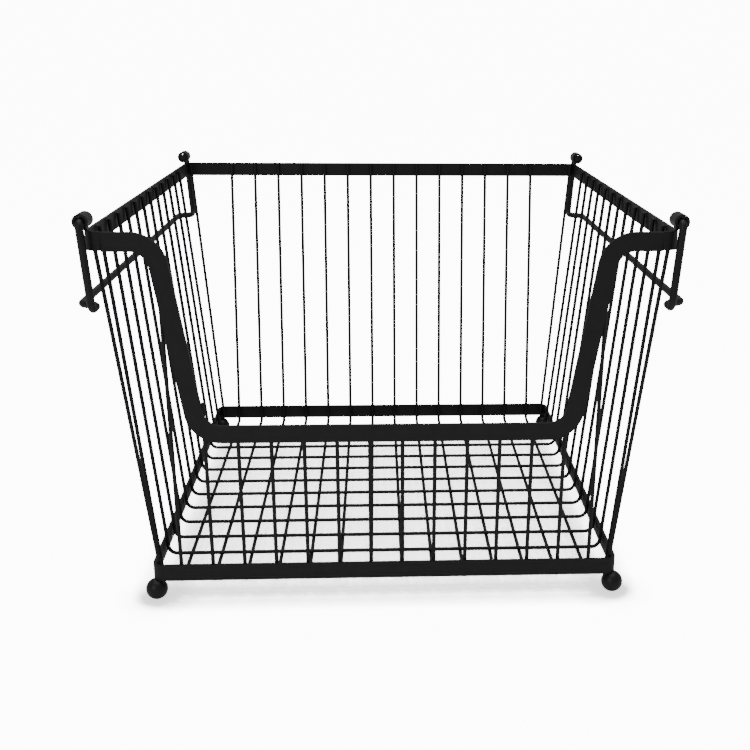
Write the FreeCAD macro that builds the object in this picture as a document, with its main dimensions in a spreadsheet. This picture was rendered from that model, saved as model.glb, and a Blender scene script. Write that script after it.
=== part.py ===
import FreeCAD, Part
import math
import os

# Open-front wire basket with two swing-over wire handles.
# Frame: millimetres, +Z up, -Y is the open front, origin on the table under the middle of
# the whole basket. The back wall leans more than the front, so the floor sits forward of it.

doc = FreeCAD.newDocument("wire_basket")

# ---- driving dimensions ------------------------------------------------------------------
SIZES = {
    "foot_radius": 6.0,
    "foot_height": 6.0,
    "foot_x": 128.0,
    "foot_y": 133.0,
    "ring_bottom": 11.5,
    "strip_height": 9.5,
    "strip_thick": 1.6,
    "wire_radius": 1.1,
    "floor_half_width": 126.0,
    "floor_half_depth": 132.0,
    "side_lean": 0.0993,
    "front_lean": 0.065,
    "back_lean": 0.119,
    "wall_height": 197.0,
    "wire_bend": 5.0,
    "long_bend": 1.8,
    "long_drop": 1.4,
    "long_pitch": 17.5,
    "cross_pitch": 21.25,
    "cross_first": 8.2,
    "corner_radius": 5.6,
    "lip_height": 88.2,
    "lip_half_length": 99.0,
    "shoulder_x": 114.5,
    "scoop_bend": 14.0,
    "scoop_width": 9.8,
    "rim_stub_x": 140.0,
    "pivot_x": 148.6,
    "pivot_z": 213.3,
    "eye_radius": 3.95,
    "eye_bore": 2.6,
    "eye_length": 11.0,
    "eye_overhang": 0.9,
    "neck_width": 4.0,
    "neck_shift": 1.5,
    "neck_sink": 0.8,
    "handle_wire": 2.05,
    "leg_length": 43.5,
    "leg_gap": 3.5,
    "seat_length": 9.7,
    "jog_length": 5.0,
    "jog_width": 5.6,
    "leg_tuck": 3.0,
    "handle_bend": 3.5,
    "handle_end": 13.0,
    "post_inset": 0.96,
    "post_start": 2.4,
    "outer_wire_top": 165.0,
    "second_wire_top": 105.0,
}
# Sizes that follow from the ones above, kept in the same sheet.
FOLLOWING = {
    "floor_middle": "=-(back_lean - front_lean) * wall_height / 2",
    "rim_top": "=ring_bottom + wall_height",
    "ring_x": "=floor_half_width + side_lean * strip_height + wire_radius",
    "ring_front": "=floor_middle - floor_half_depth - front_lean * strip_height - wire_radius",
    "ring_back": "=floor_middle + floor_half_depth + back_lean * strip_height + wire_radius",
    "rim_x": "=floor_half_width + side_lean * wall_height + wire_radius",
    "rim_front": "=floor_middle - floor_half_depth - front_lean * wall_height - wire_radius",
    "rim_back": "=floor_middle + floor_half_depth + back_lean * wall_height + wire_radius",
    "post_rise": "=wall_height - 1 - post_start",
    "front_post_length": "=post_rise * sqrt(1 + side_lean ^ 2 + front_lean ^ 2)",
    "back_post_length": "=post_rise * sqrt(1 + side_lean ^ 2 + back_lean ^ 2)",
    "neck_height": "=pivot_z - eye_radius + neck_sink - rim_top",
}
sheet = doc.addObject("Spreadsheet::Sheet", "sizes")
for row, (alias, value) in enumerate({**SIZES, **FOLLOWING}.items(), 1):
    sheet.set("A%d" % row, alias)
    sheet.set("B%d" % row, str(value))
    sheet.setAlias("B%d" % row, alias)
    doc.recompute()


def size(alias):
    """A driving dimension, read back from the sheet."""
    return float(sheet.get(alias))


PIECES = []


def keep(piece, label):
    """Name a sub-part and add it to the ones written out."""
    piece.Label = label
    PIECES.append(piece)
    return piece


def shaped(label, shape, placement=FreeCAD.Placement()):
    """A sub-part whose solid comes from the Part functions."""
    piece = doc.addObject("Part::Feature", label)
    piece.Shape = shape
    piece.Placement = placement
    return keep(piece, label)


# ---- wire along a bent path ----------------------------------------------------------------
def bent_wire(points, radius, bend):
    """Round wire through the points, with an arc of the given radius at every corner."""
    points = [FreeCAD.Vector(*point) for point in points]
    edges = []
    start = points[0]
    for before, corner, after in zip(points, points[1:], points[2:]):
        inward = (before - corner).normalize()
        outward = (after - corner).normalize()
        half = inward.getAngle(outward) / 2
        reach = bend / math.tan(half)
        first = corner + inward * reach
        last = corner + outward * reach
        middle = (inward + outward).normalize()
        top = corner + middle * (bend / math.sin(half) - bend)
        edges.append(Part.makeLine(start, first))
        edges.append(Part.Arc(first, top, last).toShape())
        start = last
    edges.append(Part.makeLine(start, points[-1]))
    path = Part.Wire(edges)
    section = Part.Wire([Part.makeCircle(radius, points[0], points[1] - points[0])])
    return path.makePipeShell([section], True, True)


# ---- shared positions ----------------------------------------------------------------------
ring_bottom = size("ring_bottom")
strip = size("strip_height")
thick = size("strip_thick")
wire = size("wire_radius")
half_width = size("floor_half_width")
half_depth = size("floor_half_depth")
wall = size("wall_height")
rim_top = size("rim_top")
rim_x = size("rim_x")
rim_front = size("rim_front")
rim_back = size("rim_back")
floor_middle = size("floor_middle")
long_level = ring_bottom - size("long_drop")
cross_level = long_level + 2 * wire


def side_x(height):
    """Middle of a side wall wire at a height above the ring's bottom edge."""
    return half_width + size("side_lean") * height


def front_y(height):
    return floor_middle - half_depth - size("front_lean") * height


def back_y(height):
    return floor_middle + half_depth + size("back_lean") * height


# ---- flat strip rings ----------------------------------------------------------------------
def rounded_block(name, ring, grow, bottom, corner):
    """Upright block that fills a ring, grown all round, with its vertical corners rounded."""
    block = doc.addObject("Part::Box", name + "_block")
    reach = "(<<sizes>>.%s_x + %s)" % (ring, grow)
    front = "(<<sizes>>.%s_front - %s)" % (ring, grow)
    back = "(<<sizes>>.%s_back + %s)" % (ring, grow)
    block.setExpression("Length", "2 * " + reach)
    block.setExpression("Width", back + " - " + front)
    block.setExpression("Height", "<<sizes>>.strip_height")
    block.setExpression("Placement.Base.x", "-1 * " + reach)
    block.setExpression("Placement.Base.y", front)
    block.setExpression("Placement.Base.z", bottom)
    doc.recompute()
    upright = []
    for number, edge in enumerate(block.Shape.Edges, 1):
        ends = [vertex.Point for vertex in edge.Vertexes]
        if abs(ends[0].z - ends[1].z) > 1.0:
            upright.append((number, corner, corner))
    rounded = doc.addObject("Part::Fillet", name)
    rounded.Base = block
    rounded.Edges = upright
    return rounded


def strip_ring(name, ring, bottom):
    """Flat strip bent on edge into a closed ring; the sheet holds the sizes of its inner face."""
    corner = size("corner_radius")
    outer = rounded_block(name + "_outer", ring, "<<sizes>>.strip_thick", bottom, corner)
    inner = rounded_block(name + "_inner", ring, "0", bottom, corner - thick)
    loop = doc.addObject("Part::Cut", name)
    loop.Base = outer
    loop.Tool = inner
    doc.recompute()
    return loop


keep(strip_ring("base_ring", "ring", "<<sizes>>.ring_bottom"), "base_ring")

closed_rim = strip_ring("rim_blank", "rim", "<<sizes>>.rim_top - <<sizes>>.strip_height")
mouth = doc.addObject("Part::Box", "rim_mouth")
mouth.Width = 20
mouth.setExpression("Length", "2 * <<sizes>>.rim_stub_x")
mouth.setExpression("Height", "<<sizes>>.strip_height + 2")
mouth.setExpression("Placement.Base.x", "-1 * <<sizes>>.rim_stub_x")
mouth.setExpression("Placement.Base.y", "<<sizes>>.rim_front - 10")
mouth.setExpression("Placement.Base.z", "<<sizes>>.rim_top - <<sizes>>.strip_height - 1")
open_rim = doc.addObject("Part::Cut", "top_rim")
open_rim.Base = closed_rim
open_rim.Tool = mouth
keep(open_rim, "top_rim")


# ---- scoop band: flat strip that dips across the front ---------------------------------------
def scoop_edge(offset):
    """One long edge of the band, offset upward from its middle line, as points with bulges."""
    low = FreeCAD.Vector(size("lip_half_length"), 0, size("lip_height"))
    high = FreeCAD.Vector(size("shoulder_x"), 0, wall - strip / 2)
    slope = (high - low).normalize()
    inward = FreeCAD.Vector(-slope.z, 0, slope.x)
    up = FreeCAD.Vector(0, 0, 1)

    def crossing(level):
        start = low + inward * offset
        run = (level - start.z) / slope.z
        return start + slope * run
    lip = crossing(low.z + offset)
    shoulder = crossing(high.z + offset)
    end = FreeCAD.Vector(size("rim_stub_x"), 0, high.z + offset)
    middle = up * (low.z + offset)
    return [middle, lip, shoulder, end]


def filleted(points, radii):
    """Edges through the points, rounded at the two inner corners."""
    edges = []
    start = points[0]
    for index in (1, 2):
        corner = points[index]
        inward = (points[index - 1] - corner).normalize()
        outward = (points[index + 1] - corner).normalize()
        half = inward.getAngle(outward) / 2
        radius = radii[index - 1]
        reach = radius / math.tan(half)
        first = corner + inward * reach
        last = corner + outward * reach
        top = corner + (inward + outward).normalize() * (radius / math.sin(half) - radius)
        edges.append(Part.makeLine(start, first))
        edges.append(Part.Arc(first, top, last).toShape())
        start = last
    edges.append(Part.makeLine(start, points[-1]))
    return edges


bend = size("scoop_bend")
half_band = size("scoop_width") / 2
upper = scoop_edge(half_band)
lower = scoop_edge(-half_band)
upper_edges = filleted(upper, (bend - half_band, bend + half_band))
lower_edges = filleted(lower, (bend + half_band, bend - half_band))
outline = Part.Wire(Part.__sortEdges__(
    upper_edges + lower_edges
    + [Part.makeLine(upper[0], lower[0]), Part.makeLine(upper[-1], lower[-1])]))
right_half = Part.Face(outline).extrude(FreeCAD.Vector(0, -thick, 0))
left_half = right_half.mirror(FreeCAD.Vector(0, 0, 0), FreeCAD.Vector(1, 0, 0))
band = right_half.fuse(left_half).removeSplitter()
band_lean = FreeCAD.Rotation(FreeCAD.Vector(1, 0, 0), math.degrees(math.atan(size("front_lean"))))
band_place = FreeCAD.Placement(FreeCAD.Vector(0, front_y(0) - wire * 1.001, ring_bottom), band_lean)
shaped("front_scoop_band", band.Solids[0], band_place)

# ---- ball feet -------------------------------------------------------------------------------
CORNERS = (("front_left", -1, -1), ("front_right", 1, -1), ("back_left", -1, 1), ("back_right", 1, 1))
for corner_name, across, along in CORNERS:
    ball = doc.addObject("Part::Sphere", corner_name + "_ball")
    ball.setExpression("Radius", "<<sizes>>.foot_radius")
    ball.Placement = FreeCAD.Placement(
        FreeCAD.Vector(), FreeCAD.Rotation(FreeCAD.Vector(0, 0, 1), 90 + 90 * across))
    ball.setExpression("Placement.Base.x", "%d * <<sizes>>.foot_x" % across)
    ball.setExpression("Placement.Base.y", "<<sizes>>.floor_middle + %d * <<sizes>>.foot_y" % along)
    ball.setExpression("Placement.Base.z", "<<sizes>>.foot_height")
    foot = doc.addObject("Part::Cut", corner_name + "_foot")
    foot.Base = ball
    foot.Tool = doc.getObject("base_ring")
    keep(foot, corner_name + "_foot")

# ---- lengthways wires: back wall, floor, front wall ---------------------------------------------
for index in range(14):
    x = size("long_pitch") * (index - 6.5)
    column = min(index, 13 - index)
    front_top = size("lip_height") + half_band - 1.0
    if column == 0:
        front_top = size("outer_wire_top")
    if column == 1:
        front_top = size("second_wire_top")
    run = [
        (x, back_y(wall - 0.5), rim_top - 0.5),
        (x, back_y(long_level - ring_bottom), long_level),
        (x, front_y(long_level - ring_bottom), long_level),
        (x, front_y(front_top), ring_bottom + front_top),
    ]
    shaped("long_wire_%02d" % (index + 1), bent_wire(run, wire, size("long_bend")))

# ---- crossways wires: left wall, floor, right wall ------------------------------------------------
for index in range(12):
    y = front_y(0) + size("cross_first") + size("cross_pitch") * index
    top_x = side_x(wall - 1.0)
    floor_x = side_x(cross_level - ring_bottom)
    run = [
        (-top_x, y, rim_top - 1.0),
        (-floor_x, y, cross_level),
        (floor_x, y, cross_level),
        (top_x, y, rim_top - 1.0),
    ]
    shaped("cross_wire_%02d" % (index + 1), bent_wire(run, wire, size("wire_bend")))

# ---- corner posts ---------------------------------------------------------------------------------
inset = size("post_inset")
post_start = size("post_start")
for corner_name, across, along in CORNERS:
    wall_y = front_y if along < 0 else back_y
    lean = size("front_lean") if along < 0 else size("back_lean")
    base = FreeCAD.Vector(
        across * (side_x(post_start) - inset), wall_y(post_start) - along * inset, ring_bottom + post_start)
    climb = FreeCAD.Vector(across * size("side_lean"), along * lean, 1)
    post = doc.addObject("Part::Cylinder", corner_name + "_post")
    post.setExpression("Radius", "<<sizes>>.wire_radius")
    post.setExpression("Height", "<<sizes>>.%s_post_length" % corner_name.split("_")[0])
    post.Placement = FreeCAD.Placement(base, FreeCAD.Rotation(FreeCAD.Vector(0, 0, 1), climb))
    keep(post, corner_name + "_post")

# ---- pivot eyes -----------------------------------------------------------------------------------
eye_front = rim_front - thick - size("eye_overhang")
eye_back = rim_back + thick + size("eye_overhang")
for corner_name, across, along in CORNERS:
    start_y = eye_front if along < 0 else eye_back - size("eye_length")
    tube = doc.addObject("Part::Cylinder", corner_name + "_tube")
    bore = doc.addObject("Part::Cylinder", corner_name + "_bore")
    for part, radius in ((tube, "eye_radius"), (bore, "eye_bore")):
        part.setExpression("Radius", "<<sizes>>.%s" % radius)
        part.setExpression("Height", "<<sizes>>.eye_length")
        part.Placement = FreeCAD.Placement(
            FreeCAD.Vector(across * size("pivot_x"), start_y, size("pivot_z")),
            FreeCAD.Rotation(FreeCAD.Vector(1, 0, 0), -90))
    neck = doc.addObject("Part::Box", corner_name + "_neck")
    neck.setExpression("Length", "<<sizes>>.strip_thick")
    neck.setExpression("Width", "<<sizes>>.neck_width")
    neck.setExpression("Height", "<<sizes>>.neck_height")
    neck_x = rim_x if across > 0 else -rim_x - thick
    neck_y = start_y + size("eye_length") / 2 - size("neck_width") / 2 - along * size("neck_shift")
    neck.Placement = FreeCAD.Placement(FreeCAD.Vector(neck_x, neck_y, rim_top), FreeCAD.Rotation())
    solid_eye = doc.addObject("Part::Fuse", corner_name + "_solid_eye")
    solid_eye.Base = tube
    solid_eye.Tool = neck
    eye = doc.addObject("Part::Cut", corner_name + "_eye")
    eye.Base = solid_eye
    eye.Tool = bore
    keep(eye, corner_name + "_pivot_eye")

# ---- swing handles ----------------------------------------------------------------------------------
leg_front = rim_front - thick - size("leg_gap")
leg_back = rim_back + thick + size("leg_gap")
for side_name, across in (("left", -1), ("right", 1)):
    pivot = across * size("pivot_x")
    tucked = across * (size("pivot_x") - size("leg_tuck"))
    bar = across * (size("pivot_x") + size("jog_width"))
    top = size("pivot_z")
    bottom = top - size("leg_length")
    seat = size("seat_length")
    jog = seat + size("jog_length")
    run = [
        (pivot, leg_front + size("handle_end"), top),
        (pivot, leg_front, top),
        (tucked, leg_front, bottom),
        (tucked, leg_front + seat, bottom),
        (bar, leg_front + jog, bottom),
        (bar, leg_back - jog, bottom),
        (tucked, leg_back - seat, bottom),
        (tucked, leg_back, bottom),
        (pivot, leg_back, top),
        (pivot, leg_back - size("handle_end"), top),
    ]
    shaped(side_name + "_swing_handle", bent_wire(run, size("handle_wire"), size("handle_bend")))

doc.recompute()

# ---- checks and export --------------------------------------------------------------------------------
for item in doc.Objects:
    if "Invalid" in item.State or "Error" in item.State:
        raise RuntimeError("bad feature: " + item.Name)
os.makedirs("parts", exist_ok=True)
for piece in PIECES:
    if piece.Shape.isNull() or not piece.Shape.isValid():
        raise RuntimeError("bad solid: " + piece.Label)
    if len(piece.Shape.Solids) != 1:
        raise RuntimeError("not one solid: " + piece.Label)
    piece.Shape.exportStep("parts/%s.step" % piece.Label)
    print(piece.Label, round(piece.Shape.Volume, 1))
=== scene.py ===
import math

import bpy
from mathutils import Matrix, Vector

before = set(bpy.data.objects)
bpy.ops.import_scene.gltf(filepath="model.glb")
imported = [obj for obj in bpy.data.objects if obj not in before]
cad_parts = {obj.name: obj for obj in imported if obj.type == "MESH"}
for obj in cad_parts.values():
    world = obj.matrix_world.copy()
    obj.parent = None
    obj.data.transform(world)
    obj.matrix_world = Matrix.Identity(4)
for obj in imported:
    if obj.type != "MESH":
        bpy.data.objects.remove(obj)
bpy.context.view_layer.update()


# ---- small helpers --------------------------------------------------------------------------
def new_material(name):
    """A material with a Principled shader, and its node tree, nodes and links."""
    material = bpy.data.materials.new(name)
    material.use_nodes = True
    tree = material.node_tree
    return material, tree.nodes, tree.links, tree.nodes["Principled BSDF"]


def noise(nodes, links, scale, detail=4.0, rough=0.55):
    """Noise in object space, so that it stays the same size on every piece."""
    place = nodes.new("ShaderNodeTexCoord")
    texture = nodes.new("ShaderNodeTexNoise")
    texture.inputs["Scale"].default_value = scale
    texture.inputs["Detail"].default_value = detail
    texture.inputs["Roughness"].default_value = rough
    links.new(place.outputs["Object"], texture.inputs["Vector"])
    return texture.outputs["Fac"]


def ramp(nodes, links, value, low, high, start=0.3, end=0.7):
    """The value turned into a colour between low and high."""
    node = nodes.new("ShaderNodeValToRGB")
    node.color_ramp.elements[0].position = start
    node.color_ramp.elements[1].position = end
    node.color_ramp.elements[0].color = (*low, 1.0)
    node.color_ramp.elements[1].color = (*high, 1.0)
    links.new(value, node.inputs["Fac"])
    return node.outputs["Color"]


def spread(nodes, links, value, low, high):
    """The value stretched over low to high."""
    node = nodes.new("ShaderNodeMapRange")
    node.inputs["From Min"].default_value = 0.3
    node.inputs["From Max"].default_value = 0.7
    node.inputs["To Min"].default_value = low
    node.inputs["To Max"].default_value = high
    links.new(value, node.inputs["Value"])
    return node.outputs["Result"]


# ---- studio brightness and painted floor shadow ------------------------------------------------
BACKDROP_GLOW = 12.0
AMBIENT = 0.30
# painted shadow on the floor glow: how far the occlusion reaches, the occlusion range that is
# mapped, and its darkest level
SHADOW_REACH = 0.02
SHADOW_OPENNESS = (0.85, 0.97)
SHADOW_FLOOR = 0.12

# ---- materials --------------------------------------------------------------------------------
def powder_coat(name, dark, light, rough, grain):
    """Black powder coat: fine orange-peel grain, faint cloudy shade and uneven sheen."""
    material, nodes, links, shader = new_material(name)
    clouds = noise(nodes, links, 60.0, 5.0)
    shade = ramp(nodes, links, clouds, dark, light)
    links.new(shade, shader.inputs["Base Color"])
    patches = noise(nodes, links, 210.0, 3.0)
    links.new(spread(nodes, links, patches, rough - 0.06, rough + 0.06), shader.inputs["Roughness"])
    peel = noise(nodes, links, 1500.0, 2.0)
    bump = nodes.new("ShaderNodeBump")
    bump.inputs["Strength"].default_value = grain
    bump.inputs["Distance"].default_value = 0.0002
    links.new(peel, bump.inputs["Height"])
    links.new(bump.outputs["Normal"], shader.inputs["Normal"])
    shader.inputs["Specular IOR Level"].default_value = 0.45
    return material


def seen_by_camera(nodes, links, strength):
    """A strength for what the camera sees directly, and none for light on the basket."""
    path = nodes.new("ShaderNodeLightPath")
    scale = nodes.new("ShaderNodeMath")
    scale.operation = "MULTIPLY"
    scale.inputs[1].default_value = strength
    links.new(path.outputs["Is Camera Ray"], scale.inputs[0])
    return scale.outputs["Value"]


def floor_paper_with_painted_shadow():
    """White studio paper, glowing as on a light table, with a painted shadow: ambient occlusion
    dims the glow where the basket closes over it.
    """
    material, nodes, links, shader = new_material("studio_paper_painted_shadow")
    tooth = noise(nodes, links, 35.0, 6.0)
    paper = ramp(nodes, links, tooth, (0.90, 0.90, 0.90), (0.93, 0.93, 0.93))
    links.new(paper, shader.inputs["Base Color"])
    shader.inputs["Roughness"].default_value = 0.9
    shader.inputs["Specular IOR Level"].default_value = 0.1
    shader.inputs["Emission Color"].default_value = (1.0, 1.0, 1.0, 1.0)
    # painted shadow: ambient occlusion from the basket's wires and strips darkens the floor's glow
    # beneath and around them
    painted_shadow_ao = nodes.new("ShaderNodeAmbientOcclusion")
    painted_shadow_ao.samples = 16
    painted_shadow_ao.inputs["Distance"].default_value = SHADOW_REACH
    shade = nodes.new("ShaderNodeMapRange")
    shade.inputs["From Min"].default_value = SHADOW_OPENNESS[0]
    shade.inputs["From Max"].default_value = SHADOW_OPENNESS[1]
    shade.inputs["To Min"].default_value = SHADOW_FLOOR
    links.new(painted_shadow_ao.outputs["AO"], shade.inputs["Value"])
    strength = nodes.new("ShaderNodeMath")
    strength.operation = "MULTIPLY"
    links.new(seen_by_camera(nodes, links, BACKDROP_GLOW), strength.inputs[0])
    links.new(shade.outputs["Result"], strength.inputs[1])
    links.new(strength.outputs["Value"], shader.inputs["Emission Strength"])
    return material


BLACKS = {
    "strip": powder_coat("strip_coat", (0.005, 0.005, 0.0057), (0.008, 0.008, 0.009), 0.50, 0.35),
    "wire": powder_coat("wire_coat", (0.003, 0.003, 0.0034), (0.005, 0.005, 0.0056), 0.48, 0.30),
    "foot": powder_coat("foot_coat", (0.004, 0.004, 0.0045), (0.007, 0.007, 0.008), 0.36, 0.25),
    "eye": powder_coat("eye_coat", (0.005, 0.005, 0.0055), (0.008, 0.008, 0.009), 0.38, 0.25),
    "handle": powder_coat("handle_coat", (0.005, 0.005, 0.0055), (0.008, 0.008, 0.009), 0.40, 0.25),
}


def coat_for(node):
    """The coat for a piece, told from the words in its name; posts are made of wire."""
    for word in ("handle", "eye", "foot", "wire", "post"):
        if word in node:
            return BLACKS["wire" if word == "post" else word]
    return BLACKS["strip"]


for node_name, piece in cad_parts.items():
    piece.data.materials.clear()
    piece.data.materials.append(coat_for(node_name))

# ---- studio ---------------------------------------------------------------------------------
bpy.ops.mesh.primitive_plane_add(size=12.0, location=(0, 0, 0))
floor = bpy.context.object
floor.name = "studio_floor"
floor.data.materials.append(floor_paper_with_painted_shadow())

world = bpy.data.worlds.new("studio_world")
world.use_nodes = True
world.node_tree.nodes["Background"].inputs["Color"].default_value = (1.0, 1.0, 1.0, 1.0)
sky = world.node_tree
glow = seen_by_camera(sky.nodes, sky.links, BACKDROP_GLOW)
lift = sky.nodes.new("ShaderNodeMath")
lift.operation = "ADD"
lift.inputs[1].default_value = AMBIENT
sky.links.new(glow, lift.inputs[0])
sky.links.new(lift.outputs["Value"], sky.nodes["Background"].inputs["Strength"])
bpy.context.scene.world = world


def softbox(name, where, toward, width, height, power):
    """A rectangular lamp at a place, turned toward a point."""
    lamp = bpy.data.lights.new(name, "AREA")
    lamp.shape = "RECTANGLE"
    lamp.size = width
    lamp.size_y = height
    lamp.energy = power
    holder = bpy.data.objects.new(name, lamp)
    holder.location = where
    aim = Vector(toward) - Vector(where)
    holder.rotation_euler = aim.to_track_quat("-Z", "Y").to_euler()
    bpy.context.scene.collection.objects.link(holder)
    return holder


softbox("overhead", (0.0, 0.1, 1.6), (0, 0, 0.1), 1.6, 1.6, 9.0)
softbox("front_fill", (-0.9, -1.5, 0.9), (0, 0, 0.1), 0.8, 0.8, 3.2)

# ---- camera -----------------------------------------------------------------------------------
lens_data = bpy.data.cameras.new("view")
lens_data.sensor_width = 36.0
lens_data.lens = 52.0
lens_data.shift_x = -0.0793
lens_data.clip_start = 0.01
camera = bpy.data.objects.new("view", lens_data)
turn = Matrix.Rotation(math.radians(-3.11), 3, "Z")
tilt = Matrix.Rotation(math.radians(90.0 - 17.33), 3, "X")
roll = Matrix.Rotation(math.radians(0.53), 3, "Z")
camera.rotation_euler = (turn @ tilt @ roll).to_euler()
camera.location = (-0.0040, -0.6868, 0.3008)
bpy.context.scene.collection.objects.link(camera)
bpy.context.scene.camera = camera
